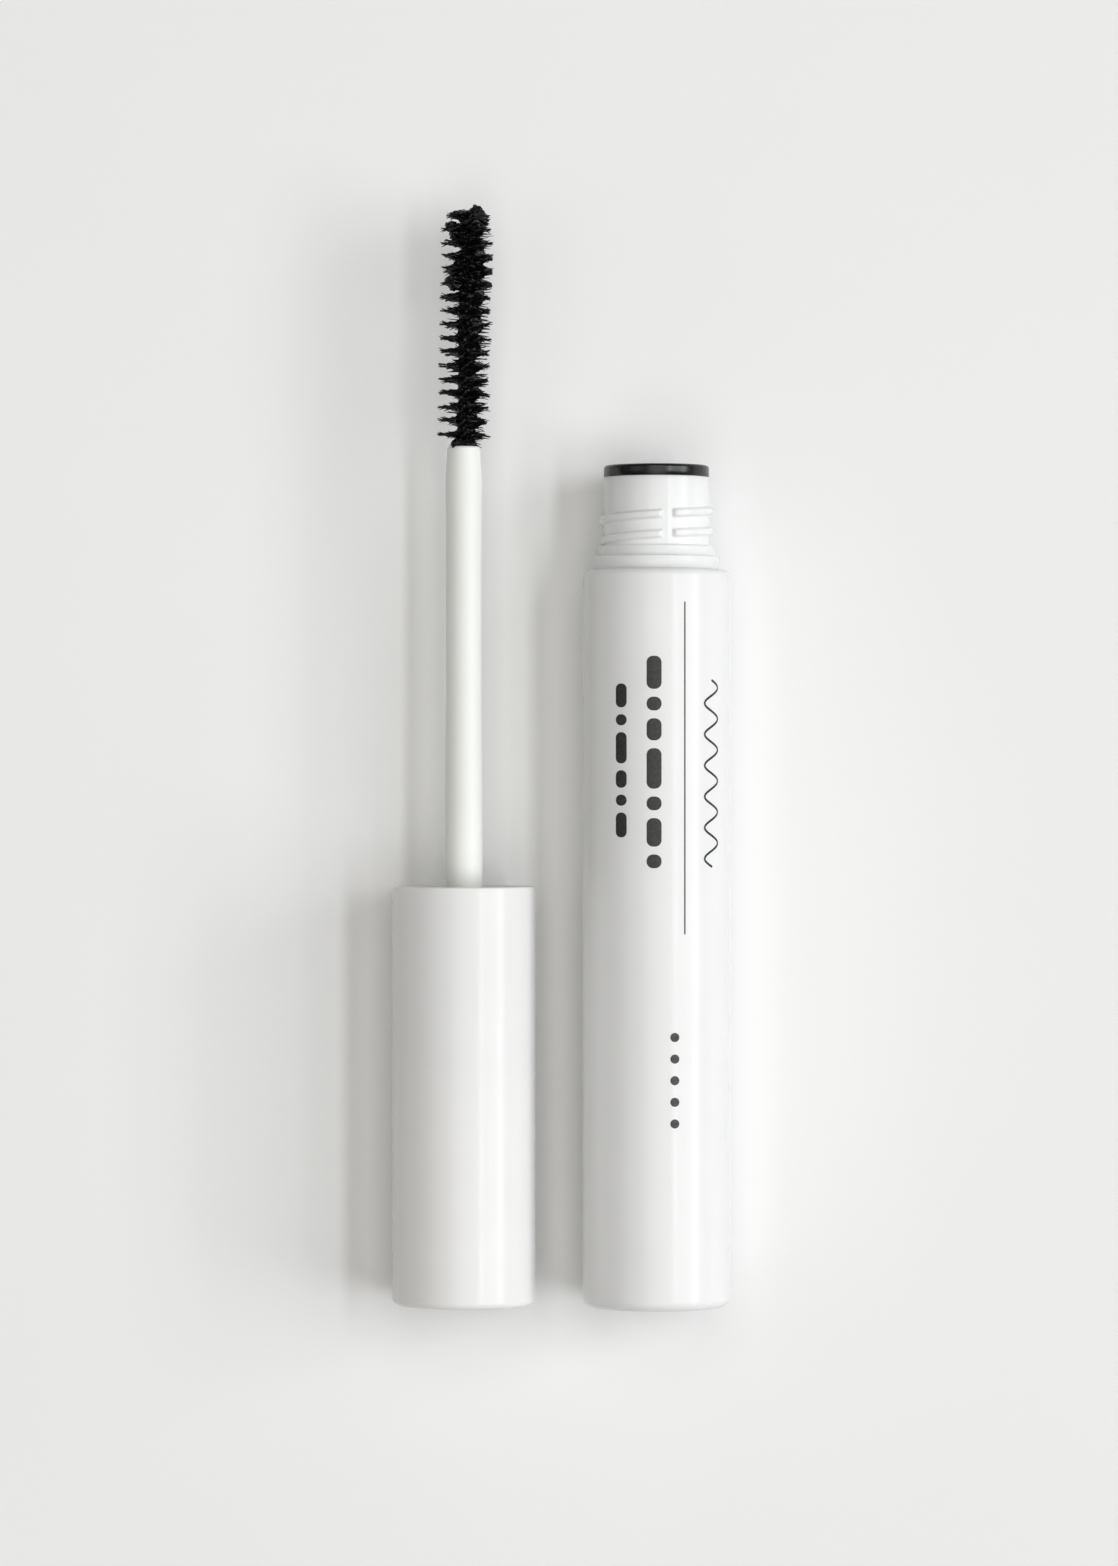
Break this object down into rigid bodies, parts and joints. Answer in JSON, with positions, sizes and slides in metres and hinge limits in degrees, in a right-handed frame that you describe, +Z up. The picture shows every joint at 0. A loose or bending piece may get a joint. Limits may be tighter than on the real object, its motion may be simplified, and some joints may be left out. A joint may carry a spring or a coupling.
{
  "type": "mascara tube",
  "caption": "Open mascara tube: cylindrical bottle with a threaded neck and wiper, and a screw-cap wand with a stem and twisted-wire brush lying beside it.",
  "frame": {"origin": "bottom centre of the box round the whole part, on the table that both halves lie on", "axes": "+Y along both axes, toward the bottle's mouth and the brush's tip; +X from the wand to the bottle; +Z up from the table"},
  "size_m": [0.0372, 0.1212, 0.0162],
  "materials": {
    "white_gloss_plastic": "glossy injection moulding",
    "cool_white_plastic": "slightly translucent polypropylene",
    "black_soft_plastic": "soft black polyethylene, smooth",
    "mascara": "wet black paste, taken as a solid",
    "natural_plastic": "natural polypropylene",
    "seal": "foamed polyethylene",
    "stem_plastic": "satin moulded rod",
    "steel_wire": "twisted stainless wire, stained with product",
    "bristle_nylon": "fine black nylon, coated with product"
  },
  "bodies": {
    "bottle": {"outer_sleeve": "white_gloss_plastic", "inner_vial": "cool_white_plastic", "wiper": "black_soft_plastic", "mascara_fill": "mascara"},
    "tip_product": {"product_clump": "mascara"},
    "washer": {"seal_washer": "seal"},
    "wand": {"stem": "stem_plastic", "wire_core": "steel_wire", "bristles": "bristle_nylon"},
    "cap": {"cap_shell": "white_gloss_plastic", "inner_cap": "natural_plastic"}
  },
  "joints": [
    {"name": "wand_turn", "type": "hinge", "parent": "bottle", "child": "tip_product", "pos_m": [-0.00013, 0.04647, 0.00797], "axis": [0.0118, 0, -0.9999], "range_deg": [0, 180]},
    {"name": "wand_insert", "type": "slide", "parent": "tip_product", "child": "washer", "axis": [0, 1, 0], "range_m": [0, 0.08337], "deforming": ["bristles"]},
    {"name": "cap_lead", "type": "slide", "parent": "washer", "child": "wand", "axis": [0, 1, 0], "range_m": [0, 0.0033]},
    {"name": "cap_screw", "type": "hinge", "parent": "wand", "child": "cap", "pos_m": [-0.01073, -0.01436, 0.00785], "axis": [0, 1, 0], "range_deg": [0, 540]}
  ],
  "couplings": [
    {"joint": "cap_lead", "follows": "cap_screw", "m_per_rad": 0.00035014}
  ]
}
